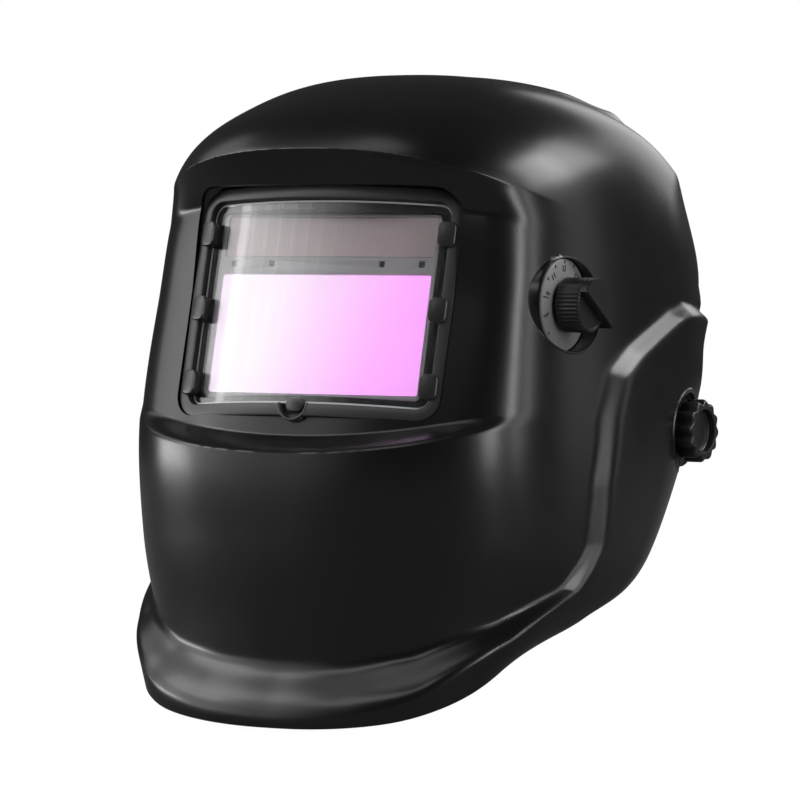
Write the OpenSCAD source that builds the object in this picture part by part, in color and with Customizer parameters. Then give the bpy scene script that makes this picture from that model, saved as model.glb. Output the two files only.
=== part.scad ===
// Welding helmet with an auto-darkening filter, worn on a tilting ratchet headgear.
// Origin: midpoint of the tilt pivots. The face looks along -Y, the wearer's left is +X, up is +Z.

/* [Shell] */
// Thickness of the moulded shell
shell_wall = 2.5; // [2:0.5:3.5]
// How far the raised lower rear panel stands out
ridge_rise = 5; // [3:0.5:6]
// How far the chin flare stands out beyond the ridge
chin_flare = 11; // [6:1:12]
// Rise of the low swelling on the crown's rear
crown_swell = 4; // [2:0.5:5]
// Depth of the recessed window panel at its lower ledge
panel_depth = 12.5; // [10:0.5:14]
// Floor of the round well at each tilt pivot
boss_x = 113.5; // [112.5:0.5:114]

/* [Window] */
// Width of the lens frame
frame_w = 136; // [130:1:140]
// Height of the lens frame
frame_h = 102; // [98:1:104]
// Lean of the window, top towards the wearer
window_tilt = 13.8; // [10:0.2:16]
// Radius of the curved lens frame and cover lens
bend_r = 187; // [170:1:220]
// Width of the liquid crystal window
lcd_w = 108; // [96:1:108]
// Height of the liquid crystal window
lcd_h = 54; // [44:1:56]

/* [Headgear] */
// Inner radius of the head band's round ends
band_r = 86; // [80:1:88]
// Height of the head band
band_h = 26; // [22:1:30]
// Underside of the head band above the pivots
band_z = 40; // [36:1:42]
// Rise of the crown strap above the band
crown_rise = 45; // [38:1:46]

/* [Knobs] */
// Diameter of the tension knobs
knob_d = 28.5; // [24:0.5:32]
// Length of the tension knobs
knob_len = 11; // [10.5:0.5:13]
// Diameter of the shade knob
shade_d = 24.5; // [20:0.5:28]
// Diameter of the ratchet knob
ratchet_d = 44; // [36:1:48]

/* [Hidden] */
$fn = 96;
slack = 0.05;                 // running gap on the radius

// Shell stations from the chin rim over the face and brow to the crown's rear rim:
// share of the way, front point y z, side rim point y z, half width, half width at the rim,
// share of the depth ahead of the widest line, roundness of the section
stations = [
    [0.00, -157, -118, -104, -92, 86, 84, 0.95, 2.3],
    [0.12, -160, -84, -72, -80, 101, 97, 0.92, 2.3],
    [0.24, -163, -44, -26, -58, 112, 103, 0.84, 2.6],
    [0.36, -163, -3, 26, 8, 115, 102, 0.76, 3.0],
    [0.50, -154, 62, 43, 40, 112, 97, 0.76, 3.1],
    [0.64, -141, 124, 60, 66, 108, 92, 0.70, 2.9],
    [0.76, -100, 151, 64, 86, 102, 85, 0.66, 2.5],
    [0.88, -42, 161, 62, 102, 92, 72, 0.74, 2.3],
    [1.00, 56, 148, 58, 114, 74, 58, 0.90, 2.1]];
last_station = len(stations) - 1;
// Middle of the ridge's step, from the chin's centre round to the rear rim: share across, share of the way
ridge = [[0, 0.034], [0.16, 0.038], [0.30, 0.054], [0.45, 0.115], [0.54, 0.19], [0.555, 0.25],
    [0.53, 0.31], [0.522, 0.375], [0.535, 0.428], [0.57, 0.458], [0.675, 0.525], [0.74, 0.54],
    [1.05, 0.562]];
ridge_scale = [230, 400];     // millimetres for each whole share, across and along
turn = 0.68;                  // share across at the widest line
ledge_low = 0.352;            // shares of the way at the ledge, the panel's top and the brow's edge
ledge_high = 0.368;
panel_top = 0.61;
brow = 0.648;
// Rows and columns of the shell's grid, closer at the chin, the ledge and the brow
rows = concat([for (i = [0:12]) i * 0.015], [for (i = [0:4]) 0.206 + i * 0.03], [ledge_low, ledge_high],
    [for (i = [1:6]) ledge_high + i * (panel_top - ledge_high) / 6], [0.63, brow, 0.656],
    [for (i = [1:9]) 0.656 + i * (1 - 0.656) / 9]);
half_cols = 25;
cols = [for (i = [-half_cols:half_cols]) i / half_cols];

// Window frame of reference: centre of the lens frame's front on the mid-plane
window_y = -137.5;
window_z = 60;
lens_w = 124;
lens_h = 92;
lens_depth = 3;               // from the frame's front to the cover lens
clip_z = [32, -2, -36];        // heights of the three clips on each side
cartridge_y = 17;             // from the frame's front to the cartridge's face
cartridge_t = 9.5;
cartridge_w = 130;
cartridge_h = 106;
face_w = 112;                 // raised face that looks through the lens frame
face_h = 83.4;
face_y = 13.5;                // from the frame's front to the raised face
lcd_drop = 12.4;              // LCD's centre below the window's centre
solar_lift = 31.7;            // solar strip's centre above the window's centre
sensor_lift = 19.4;
sensor_x = [-48.5, -29, 28, 48.5];
small_dial_x = 28;
small_dial_z = 35;
small_stem_r = 2.4;
small_dial_y = cartridge_y + cartridge_t + 2.4; // inner face of the small dials

// Tilt pivots
bolt_r = 4;
bush_r = 6.5;
boss_r = 16.5;
well_r = 17.2;
well_wall = 2.3;
bush_in = 100.2;              // inner end of the bushes
boss_in = 102;                // inner face of the boss
arm_x = 93.5;                 // outer face of the headgear's side arms
knob_x = boss_x + 1.5;        // inner face of the tension knobs, past the washer rim

// Shade control
dial_y = -88.6;
dial_z = 58;
dial_x = 100.5;               // floor of the dial's well
dial_well_r = 21;
shaft_r = 3;

// Headgear
band_t = 2.5;
strap_t = 1.8;
strap_w = 18;
crown_y = 9;                  // middle of the crown strap
front_y = 0;                  // centre of the band's front arc
rear_y = 16;                  // centre of the band's rear arc
tail_r = band_r;              // inner radius of the left tail; the right one runs outside it
tail_t = 2;
tail_gap = 0.8;               // between the two tails
tail_h = 20;
tail_z = band_z + band_h / 2; // middle of the tails
pinion_r = 6;
housing_w = 66;
housing_d = 14;
housing_y = rear_y + band_r - 4;
knob_y = housing_y + housing_d + 2.5;

// ---------- shell surface ----------
function step(a, b, x) = let (t = min(1, max(0, (x - a) / (b - a)))) t * t * (3 - 2 * t);
function slope(i, c) = let (a = max(0, i - 1), b = min(last_station, i + 1))
    (stations[b][c] - stations[a][c]) / (stations[b][0] - stations[a][0]);
function interval(v, i = 0) = i >= last_station - 1 || v < stations[i + 1][0] ? i : interval(v, i + 1);
// Smooth curve through one column of the stations
function along(v, c) = let (i = interval(v), h = stations[i + 1][0] - stations[i][0],
    t = (v - stations[i][0]) / h, p = stations[i][c], q = stations[i + 1][c])
    p * (1 + 2 * t) * pow(1 - t, 2) + h * slope(i, c) * t * pow(1 - t, 2)
    + q * t * t * (3 - 2 * t) + h * slope(i + 1, c) * t * t * (t - 1);
// Signed distance from the ridge's path, positive on the rim's side
function leg(p, i) = let (a = [ridge[i][0] * ridge_scale[0], ridge[i][1] * ridge_scale[1]],
    b = [ridge[i + 1][0] * ridge_scale[0], ridge[i + 1][1] * ridge_scale[1]], e = b - a, d = p - a,
    t = min(1, max(0, d * e / (e * e))), gap = norm(d - t * e))
    [gap, e[0] * d[1] - e[1] * d[0] > 0 ? -gap : gap];
function nearest(legs, i = 0, best = [1e6, 0]) = i == len(legs) ? best[1]
    : nearest(legs, i + 1, legs[i][0] < best[0] - 1e-6 ? legs[i] : best);
function ridge_gap(u, v) = let (p = [abs(u) * ridge_scale[0], v * ridge_scale[1]])
    nearest([for (i = [0:len(ridge) - 2]) leg(p, i)]);
function rise(u, v) = let (chin = (1 - step(0.25, 0.62, abs(u))) * (1 - step(0.1, 0.35, v)))
    (ridge_rise + chin_flare * chin) * step(-5, 5 + 8 * chin, ridge_gap(u, v))
    + crown_swell * (1 - step(0.28, 0.38, abs(u))) * step(0.885, 0.924, v);
function recess(x, v) = v <= ledge_low || v >= brow ? 0
    : let (s = (v - ledge_high) / (panel_top - ledge_high), lip = (brow - v) / (brow - panel_top),
        depth = panel_depth + 6 * s + 2.5 * sin(180 * min(1, max(0, s))))
    depth * (1 - step(60, 108, x)) * (v > panel_top ? pow(lip, 0.8) : 1)
    * (v < ledge_high ? (v - ledge_low) / (ledge_high - ledge_low) : 1);
function row(v) = [for (c = [1:8]) along(v, c)];
// Point of the outer surface, or of the inner one when sunk by the wall
function skin(u, v, r, sunk) = let (py = r[0], pz = r[1], reach = norm([r[2] - py, r[3] - pz]),
    dy = (r[2] - py) / reach, dz = (r[3] - pz) / reach, w = r[4], xr = r[5], a = r[6] * reach, n = r[7],
    q = abs(u), t = min(1, q / turn) * 90, s = max(1e-6, sin(t)), c = max(1e-6, cos(t)),
    k = pow(pow(s, n) + pow(c, n), -1 / n), e = max(0, q - turn) / (1 - turn), front = q < turn,
    x = front ? w * s * k : w - (w - xr) * e * e,
    d = front ? a * (1 - c * k) : a + (reach - a) * e,
    gx = front ? pow(x / w, n - 1) / w : 1,
    gd = front ? -pow(max(0, a - d) / a, n - 1) / a : 2 * (w - xr) * e / (reach - a),
    g = norm([gx, gd]), lift = rise(u, v) - sunk, depth = d + gd / g * lift + recess(x, v))
    [sign(u) * (x + gx / g * lift), py + dy * depth, pz + dz * depth];
function sheet(sunk) = [for (v = rows) let (r = row(v)) for (u = cols) skin(u, v, r, sunk)];
nc = len(cols);
nr = len(rows);
// Faces between two rows of points, and the strip that closes the wall along an edge
function quads(base, flip) = [for (j = [0:nr - 2]) for (i = [0:nc - 2])
    let (a = base + j * nc + i, b = a + 1, c = a + nc + 1, d = a + nc)
    for (f = flip ? [[a, b, c], [a, c, d]] : [[a, c, b], [a, d, c]]) f];
function strip(a, b, flip) = let (m = nr * nc)
    flip ? [[a, b + m, b], [a, a + m, b + m]] : [[a, b, b + m], [a, b + m, a + m]];
edge_strips = [for (i = [0:nc - 2]) for (f = concat(strip(i, i + 1, false),
        strip((nr - 1) * nc + i, (nr - 1) * nc + i + 1, true))) f];
side_strips = [for (j = [0:nr - 2]) for (f = concat(strip(j * nc, (j + 1) * nc, true),
        strip(j * nc + nc - 1, (j + 1) * nc + nc - 1, false))) f];

// ---------- shared shapes ----------
module along_x(x0, x1) translate([x0, 0, 0]) rotate([0, 90, 0]) linear_extrude(x1 - x0) children();
module rod_x(x0, x1, r) translate([x0, 0, 0]) rotate([0, 90, 0]) cylinder(h = x1 - x0, r = r);
module tube_x(x0, x1, r, bore) difference() {
    rod_x(x0, x1, r);
    rod_x(x0 - 1, x1 + 1, bore);
}
module rounded(w, h, r) {
    square([w - 2 * r, h], center = true);
    square([w, h - 2 * r], center = true);
    for (x = [-1, 1]) for (z = [-1, 1]) translate([x * (w / 2 - r), z * (h / 2 - r)]) circle(r);
}
// Plate standing in the window's plane, from depth y0 to y1
module pane(w, h, r, y0, y1) translate([0, y1, 0]) rotate([90, 0, 0]) linear_extrude(y1 - y0)
    rounded(w, h, r);
module window_place() translate([0, window_y, window_z]) rotate([-window_tilt, 0, 0]) children();
// Upright curved slab between two depths behind the frame's bent front
module bent(y0, y1) difference() {
    translate([0, bend_r, 0]) cylinder(h = 160, r = bend_r - y0, center = true);
    translate([0, bend_r, 0]) cylinder(h = 162, r = bend_r - y1, center = true);
}
module bent_pane(w, h, r, y0, y1) intersection() {
    pane(w, h, r, y0 - 1, y1 + 32);
    bent(y0, y1);
}
module side(s) mirror([s < 0 ? 1 : 0, 0, 0]) children();
module dial_place() translate([0, dial_y, dial_z]) children();
// Upright arc of a band round (0, cy)
module arc_band(cy, r0, r1, z0, z1, from, to) translate([0, cy, z0])
    rotate([0, 0, from]) rotate_extrude(angle = to - from) translate([r0, 0]) square([r1 - r0, z1 - z0]);

// Rod whose outer end follows the slope of the shell's side round a well
module leaning_rod(x0, top, r, lean_y, lean_z) intersection() {
    rod_x(x0, x0 + 30, r);
    translate([top, 0, 0]) rotate([0, lean_y, lean_z]) translate([-60, -40, -40]) cube([60, 80, 80]);
}

// ---------- hood ----------
module shell() color("#2c2c2e") difference() {
    union() {
        for (s = [-1, 1]) side(s) {
            rod_x(boss_in, boss_x, boss_r);
            leaning_rod(boss_in, 115.4, well_r + well_wall, 8.9, 16);
        }
        dial_place() {
            rod_x(dial_x - 9, dial_x, dial_well_r + 1.3);
            leaning_rod(dial_x - 9, 104, dial_well_r + well_wall, -6.7, -16.7);
        }
        polyhedron(points = concat(sheet(0), sheet(shell_wall)),
            faces = concat(quads(0, false), quads(nr * nc, true), edge_strips, side_strips));
    }
    for (s = [-1, 1]) side(s) rod_x(boss_x, boss_x + 14, well_r);
    dial_place() rod_x(dial_x, dial_x + 14, dial_well_r);
    window_place() pane(frame_w + 0.8, frame_h + 0.8, 10.4, -14, 32);
    for (s = [-1, 1]) side(s) rod_x(boss_in - 4, boss_x + 4, bush_r + slack);
    dial_place() rod_x(dial_x - 20, dial_x + 4, 4);
}
module lens_frame() color("#3a3a3c") window_place() {
    difference() {
        union() {
            bent_pane(frame_w, frame_h, 10, -1, 6.6);
            bent_pane(frame_w + 8, frame_h + 8, 12, 4.6, 6.6);
        }
        bent_pane(lens_w + 0.6, lens_h + 0.6, 9, -3, lens_depth + 1.3);
        pane(lens_w - 8, lens_h - 8, 6, 0, 40);
        translate([0, -2, -frame_h / 2]) rotate([-90, 0, 0]) cylinder(h = 8, r = 5);
    }
    for (x = [-1, 1]) for (z = clip_z) intersection() {
        translate([x * (lens_w / 2 - 0.8), 0, z]) pane(6.4, 11, 2, -2, 30);
        bent(0.8, lens_depth - 0.1);
    }
}
module cover_lens() color("#cfd2d4") window_place()
    bent_pane(lens_w, lens_h, 9, lens_depth, lens_depth + 1.2);
module cartridge_housing() color("#4a4b4e") window_place() difference() {
    union() {
        pane(cartridge_w, cartridge_h, 5, cartridge_y + 2, cartridge_y + 2 + cartridge_t);
        pane(face_w, face_h, 3, face_y, cartridge_y + 3);
    }
    translate([0, 0, -lcd_drop]) pane(lcd_w, lcd_h, 1, 0, 60);
    translate([0, 0, solar_lift]) pane(lcd_w, 18.4, 1, 0, face_y + 2);
    pane(cartridge_w - 6, cartridge_h - 6, 2, cartridge_y + 4.5, cartridge_y + cartridge_t + 0.4);
    for (x = sensor_x) translate([x, 0, sensor_lift]) pane(3, 3, 0.5, 0, 30);
    for (x = [-1, 1]) translate([x * small_dial_x, cartridge_y + 6, small_dial_z]) rotate([-90, 0, 0])
        cylinder(h = 10, r = small_stem_r + slack);
}
module circuit_board() color("#1f5a35") window_place() difference() {
    translate([0, 0, 31]) pane(116, 30, 1, cartridge_y + 6.5, cartridge_y + 8.1);
    pane(lcd_w + 4, 34, 1, 0, 60);
}
module lcd_filter() color("#f3c9f2") window_place() translate([0, 0, -lcd_drop])
    pane(lcd_w - 0.6, lcd_h - 0.6, 1, face_y + 0.5, face_y + 4.1);
module solar_cell() color("#a89494") window_place() translate([0, 0, solar_lift])
    pane(lcd_w - 0.6, 17.8, 1, face_y + 0.5, face_y + 1.8);
module arc_sensors() color("#171718") window_place() for (x = sensor_x)
    translate([x, 0, sensor_lift]) pane(2.6, 2.6, 0.4, face_y + 0.4, face_y + 3.5);
module inner_cover_lens() color("#d9dde0") window_place() translate([0, 0, -lcd_drop])
    pane(lcd_w + 10, lcd_h + 8, 2, cartridge_y + cartridge_t + 2.2, cartridge_y + cartridge_t + 3.2);
module cartridge_retainer() color("#2a2a2c") window_place() difference() {
    union() {
        pane(cartridge_w + 8, cartridge_h + 4, 5, cartridge_y + cartridge_t + 3.5,
            cartridge_y + cartridge_t + 6);
        for (x = [-1, 1]) translate([x * (cartridge_w / 2 + 2.4), 0, 0])
            pane(3, 30, 1, 22.5, cartridge_y + cartridge_t + 5);
    }
    translate([0, 0, -lcd_drop]) pane(lcd_w + 4, lcd_h + 4, 4, 0, 60);
    for (x = [-1, 1]) translate([x * small_dial_x, 0, small_dial_z]) rotate([-90, 0, 0])
        cylinder(h = 60, r = 8);
}
module battery_cells() color("#c9cacc") window_place() for (x = [-1, 1])
    translate([x * 50, cartridge_y + 8.2, 37]) rotate([-90, 0, 0]) cylinder(h = 1.6, r = 8);
module small_dial(x) color("#1c1c1e") window_place() translate([x, 0, small_dial_z]) difference() {
    union() {
        translate([0, small_dial_y, 0]) rotate([-90, 0, 0]) cylinder(h = 5.5, r = 7);
        translate([0, small_dial_y - 3.4, 0]) rotate([-90, 0, 0]) cylinder(h = 4, r = small_stem_r);
    }
    translate([0, small_dial_y + 5, 3]) cube([1, 2, 6], center = true);
}
module sensitivity_dial() small_dial(-small_dial_x);
module delay_dial() small_dial(small_dial_x);

// ---------- shade control ----------
module dial_plate() color("#3c3c3f") dial_place() difference() {
    rod_x(dial_x + 0.1, dial_x + 1.9, 19.5);
    rod_x(dial_x, dial_x + 3, 5.2);
    for (a = [0:30:300]) rotate([a - 60, 0, 0]) translate([dial_x + 1.9, 0, 16])
        cube([1, 0.8, 5], center = true);
}
module pot_body() color("#8d9094") dial_place() {
    difference() {
        union() {
            rod_x(dial_x - 20.7, dial_x - 9.2, 8.5);
            rod_x(dial_x - 9.3, dial_x + 3.1, 3.9);
        }
        rod_x(dial_x - 16, dial_x + 5, shaft_r + slack);
    }
    for (y = [-4, 0, 4]) translate([dial_x - 18.5, y - 0.75, -13]) cube([0.8, 1.5, 6]);
}
module pot_nut() color("#b9bcc0") dial_place() difference() {
    translate([dial_x + 0.5, 0, 0]) rotate([0, 90, 0]) cylinder(h = 2.4, r = 5, $fn = 6);
    rod_x(dial_x, dial_x + 4, 3.92);
}
module pot_shaft() color("#c5c8cc") dial_place() rod_x(dial_x - 15.5, dial_x + 13, shaft_r);
module shade_knob() color("#2e2e31") dial_place() difference() {
    union() {
        rod_x(dial_x + 3.2, dial_x + 15.5, shade_d / 2);
        for (a = [0:10:170]) rotate([a + 95, 0, 0]) translate([dial_x + 9.2, 0, shade_d / 2])
            cube([11, 1, 1], center = true);
        intersection() {
            rod_x(dial_x + 15, dial_x + 19, shade_d / 2);
            rotate([30, 0, 0]) translate([dial_x + 17, 0, 0]) cube([4, 3.4, 30], center = true);
        }
    }
    rod_x(dial_x + 3, dial_x + 13.05, shaft_r + 0.02);
    rod_x(dial_x + 3, dial_x + 6, 6.2);
}
// Lead from the potentiometer along the shell's inside to the cartridge
lead_route = [[82, -88.6, 43.5], [82.4, -90, 38], [83.8, -96, 32.4], [84.3, -100.5, 32], [82.6, -105, 31.8],
    [78, -111, 32], [72, -115, 34], [65.3, -118, 35]];
lead_r = 1.6;
lead_sides = 8;
function unit(v) = v / norm(v);
function lead_ring(i) = let (last = len(lead_route) - 1,
    t = unit(lead_route[min(i + 1, last)] - lead_route[max(i - 1, 0)]),
    n = unit(cross(t, [0, 0, 1] + [0.3, 0, 0])), b = cross(t, n))
    [for (k = [0:lead_sides - 1]) lead_route[i] + lead_r * (cos(k * 45) * n + sin(k * 45) * b)];
module control_lead() color("#101012") polyhedron(
    points = [for (i = [0:len(lead_route) - 1]) for (p = lead_ring(i)) p],
    faces = concat([[for (k = [0:lead_sides - 1]) k]],
        [for (i = [0:len(lead_route) - 2]) for (k = [0:lead_sides - 1]) let (a = i * lead_sides + k,
            b = i * lead_sides + (k + 1) % lead_sides) for (f = [[a, a + lead_sides, b + lead_sides],
            [a, b + lead_sides, b]]) f],
        [[for (k = [lead_sides - 1:-1:0]) (len(lead_route) - 1) * lead_sides + k]]));
module lead_clip() color("#232325") difference() {
    translate([83.5, -103, 28]) cube([15, 5, 8]);
    translate([82, -104, 29.8]) cube([7, 7, 4.4]);
}

// ---------- tilt pivots, one side ----------
module pivot_bush(s) color("#1d1d1f") side(s) difference() {
    union() {
        rod_x(bush_in, boss_in - 0.2, 10);
        rod_x(bush_in, boss_x, bush_r);
    }
    rod_x(bush_in - 1, boss_x + 1, bolt_r + slack);
}
module pivot_bush_left() pivot_bush(1);
module pivot_bush_right() pivot_bush(-1);
module pivot_bolt(s) color("#8f9296") side(s) union() {
    rod_x(arm_x - 6.5, arm_x - 4.2, 8.5);
    rod_x(arm_x - 4.3, knob_x + 7, bolt_r);
}
module pivot_bolt_left() pivot_bolt(1);
module pivot_bolt_right() pivot_bolt(-1);
module spring_washers() color("#a9acb0") for (s = [-1, 1]) side(s)
    tube_x(arm_x + 5.2, arm_x + 6.3, 9, bolt_r + 0.02);
module pivot_washers() color("#77797d") for (s = [-1, 1]) side(s)
    tube_x(boss_x + 0.1, boss_x + 1.3, 12, bush_r + slack);
module tension_knob(s) color("#242426") side(s) difference() {
    union() {
        rod_x(knob_x + 0.3, knob_x + 2.3, 12.6);
        rod_x(knob_x + 2.2, knob_x + 0.3 + knob_len, knob_d / 2 - 1.2);
        for (a = [0:30:330]) rotate([a, 0, 0]) translate([0, 0, knob_d / 2 - 2.6]) rod_x(knob_x + 2.2,
            knob_x + 0.3 + knob_len, 2.6);
    }
    rod_x(knob_x, knob_x + 7.4, 6);
    rod_x(knob_x + knob_len - 1.6, knob_x + 1 + knob_len, 10);
}
module tension_knob_left() tension_knob(1);
module tension_knob_right() tension_knob(-1);
module knob_insert(s) color("#c2a35a") side(s) tube_x(knob_x + 0.4, knob_x + 7.3, 5.97, bolt_r + 0.02);
module knob_insert_left() knob_insert(1);
module knob_insert_right() knob_insert(-1);
module tilt_stop(s) color("#2b2b2e") side(s) difference() {
    union() {
        rod_x(arm_x + 0.2, arm_x + 5, 15);
        translate([arm_x + 0.2, 12, -5]) cube([4.8, 10, 10]);
    }
    rod_x(arm_x - 1, arm_x + 8, bolt_r + 0.02);
}
module tilt_stop_left() tilt_stop(1);
module tilt_stop_right() tilt_stop(-1);

// ---------- headgear ----------
// Oblique arm from the band's side down to the pivot
module side_arm(s) side(s) difference() {
    union() {
        rod_x(arm_x - 4, arm_x, 18);
        translate([arm_x - 4, -12, 0]) cube([4, 24, band_z + 12]);
        translate([band_r, -12, band_z]) cube([arm_x - band_r, 24, band_h]);
    }
    rod_x(arm_x - 8, arm_x + 2, bolt_r + 0.02);
}
// Channel that the tail slides in: outer wall with a lip above and below
module sleeve(r) {
    translate([band_r + 1, 4, band_z]) cube([r + 1.6 - band_r - 1, rear_y - 4, band_h]);
    arc_band(rear_y, r, r + 1.6, band_z, band_z + band_h, 0, 32);
    for (z = [band_z, band_z + band_h - 2.4]) arc_band(rear_y, r - tail_t - 1, r + 1, z, z + 2.4, 0, 32);
}
module head_band() color("#232326") union() {
    arc_band(front_y, band_r, band_r + band_t, band_z, band_z + band_h, 180, 360);
    for (s = [-1, 1]) side(s) translate([band_r, front_y, band_z])
        cube([band_t, rear_y - front_y, band_h]);
    sleeve(tail_r + tail_t + 0.8);
    side(-1) sleeve(tail_r + 2 * tail_t + tail_gap + 0.8);
    for (s = [-1, 1]) side_arm(s);
}
module sweatband() color("#3b3d40") arc_band(front_y, band_r - 6, band_r - 0.2, band_z - 4,
    band_z + band_h + 4, 205, 335);
// Half of the crown strap: upright leg, shoulder arc and a flat lap at the top
module crown_half(s, drop) side(s) difference() {
    translate([0, crown_y + strap_w / 2, band_z + band_h - 4]) rotate([90, 0, 0])
        linear_extrude(strap_w) intersection() {
        difference() {
            arch(band_r - 0.3, crown_rise + 4 - drop, 52);
            arch(band_r - 0.3 - strap_t, crown_rise + 4 - drop - strap_t, 52 - strap_t);
        }
        translate([-16, 0]) square([120, crown_rise + 10]);
    }
    translate([0, crown_y, band_z + band_h + crown_rise - 8]) cylinder(h = 20, r = 2.55);
}
// Straight legs under two quarter circles and a flat top
module arch(w, h, r) {
    translate([-w, -1]) square([2 * w, h - r + 1]);
    translate([-(w - r), -1]) square([2 * (w - r), h + 1]);
    for (x = [-1, 1]) translate([x * (w - r), h - r]) circle(r);
}
module crown_strap_left() color("#232326") crown_half(1, 0);
module crown_strap_right() color("#232326") crown_half(-1, strap_t + 0.3);
module crown_peg() color("#232326") translate([0, crown_y, band_z + band_h + crown_rise - 5.8]) {
    cylinder(h = 8.6, r = 2.5);
    translate([0, 0, 6.1]) cylinder(h = 2.2, r = 5);
}

// ---------- ratchet at the nape ----------
module housing_block(y0, y1) translate([0, 0, tail_z]) translate([0, y1, 0]) rotate([90, 0, 0])
    linear_extrude(y1 - y0) rounded(housing_w, 38, 12);
// Room for the two tails between the housing and its cover
module tail_way(r0, r1) arc_band(rear_y, r0, r1, tail_z - tail_h / 2 - 0.6,
    tail_z + tail_h / 2 + 0.6, 50, 130);
module ratchet_housing() color("#232326") difference() {
    housing_block(housing_y - 8, housing_y + 3);
    tail_way(band_r - 1.4, band_r + 12);
}
module ratchet_cover() color("#2a2a2d") difference() {
    housing_block(housing_y + 3.2, housing_y + housing_d);
    tail_way(band_r - 20, band_r + 6.4);
    translate([0, housing_y, tail_z]) rotate([-90, 0, 0]) cylinder(h = 40, r = 5 + slack);
    translate([0, housing_y - 4, tail_z]) rotate([-90, 0, 0]) cylinder(h = 15, r = pinion_r + 1.8);
}
module ratchet_knob() color("#1f1f21") translate([0, knob_y, tail_z]) rotate([-90, 0, 0]) difference() {
    union() {
        cylinder(h = 14, r = ratchet_d / 2 - 1.5);
        for (a = [0:30:330]) rotate([0, 0, a]) translate([ratchet_d / 2 - 3, 0, 0]) cylinder(h = 14, r = 3);
    }
    translate([0, 0, 11]) cylinder(h = 4, r = 13);
    translate([0, 0, -1]) cylinder(h = 8, r = 3.02);
}
module pinion() color("#d8d4c8") translate([0, 0, tail_z]) rotate([-90, 0, 0]) {
    translate([0, 0, rear_y + band_r - 1]) cylinder(h = 7.5, r = pinion_r - 1);
    for (a = [0:36:324]) rotate([0, 0, a]) translate([pinion_r - 1.4, -0.9, rear_y + band_r - 1])
        cube([2, 1.8, 7.5]);
    translate([0, 0, rear_y + band_r + 6]) cylinder(h = knob_y - rear_y - band_r - 6.2, r = 5);
    translate([0, 0, knob_y - 1]) cylinder(h = 7.5, r = 3);
}
// Tail of the band, slotted where the pinion runs
module tail(r, from, to) difference() {
    arc_band(rear_y, r, r + tail_t, tail_z - tail_h / 2, tail_z + tail_h / 2, from, to);
    arc_band(rear_y, r - 1, r + tail_t + 1, tail_z - 7.4, tail_z + 7.4, 73, 107);
}
module tail_left() color("#2a2a2d") tail(tail_r, 14, 111);
module tail_right() color("#2a2a2d") tail(tail_r + tail_t + tail_gap, 69, 166);
module rear_pad() color("#3b3d40") translate([0, housing_y - 8.2, tail_z]) rotate([90, 0, 0])
    linear_extrude(7) rounded(60, 34, 11);

shell();
lens_frame();
cover_lens();
cartridge_housing();
circuit_board();
lcd_filter();
solar_cell();
arc_sensors();
inner_cover_lens();
cartridge_retainer();
battery_cells();
sensitivity_dial();
delay_dial();
dial_plate();
pot_body();
pot_nut();
pot_shaft();
shade_knob();
control_lead();
lead_clip();
pivot_bush_left();
pivot_bush_right();
pivot_bolt_left();
pivot_bolt_right();
spring_washers();
pivot_washers();
tension_knob_left();
tension_knob_right();
knob_insert_left();
knob_insert_right();
tilt_stop_left();
tilt_stop_right();
head_band();
sweatband();
crown_strap_left();
crown_strap_right();
crown_peg();
ratchet_housing();
ratchet_cover();
ratchet_knob();
pinion();
tail_left();
tail_right();
rear_pad();
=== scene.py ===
import bpy, bmesh, math
import numpy as np
from mathutils import Vector, Matrix


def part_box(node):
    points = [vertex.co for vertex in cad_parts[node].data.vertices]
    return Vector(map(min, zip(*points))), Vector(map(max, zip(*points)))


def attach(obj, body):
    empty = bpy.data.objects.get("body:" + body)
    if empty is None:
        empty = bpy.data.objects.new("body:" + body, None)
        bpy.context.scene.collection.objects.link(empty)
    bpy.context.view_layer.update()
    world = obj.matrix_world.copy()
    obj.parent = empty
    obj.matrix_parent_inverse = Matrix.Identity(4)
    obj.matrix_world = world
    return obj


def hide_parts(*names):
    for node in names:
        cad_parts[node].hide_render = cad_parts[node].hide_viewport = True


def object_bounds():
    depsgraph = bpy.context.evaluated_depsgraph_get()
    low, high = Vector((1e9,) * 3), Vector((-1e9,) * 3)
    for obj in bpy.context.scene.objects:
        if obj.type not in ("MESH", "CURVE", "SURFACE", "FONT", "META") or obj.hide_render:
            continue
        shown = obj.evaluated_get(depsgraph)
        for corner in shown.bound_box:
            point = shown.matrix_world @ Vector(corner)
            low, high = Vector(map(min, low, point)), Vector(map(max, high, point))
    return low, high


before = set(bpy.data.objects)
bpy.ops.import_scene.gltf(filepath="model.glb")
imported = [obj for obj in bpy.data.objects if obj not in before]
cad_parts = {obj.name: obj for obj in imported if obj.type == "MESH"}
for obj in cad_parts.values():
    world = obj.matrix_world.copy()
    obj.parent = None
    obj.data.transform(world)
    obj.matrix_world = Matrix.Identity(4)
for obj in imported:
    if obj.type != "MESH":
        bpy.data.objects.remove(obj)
cad_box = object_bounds()
MM = 0.001


def in_scene(name, data):
    ob = bpy.data.objects.new(name, data)
    bpy.context.scene.collection.objects.link(ob)
    return ob


def turn(n):
    """n angles once round, in radians."""
    return np.linspace(0, 2 * math.pi, n, endpoint=False)


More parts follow.
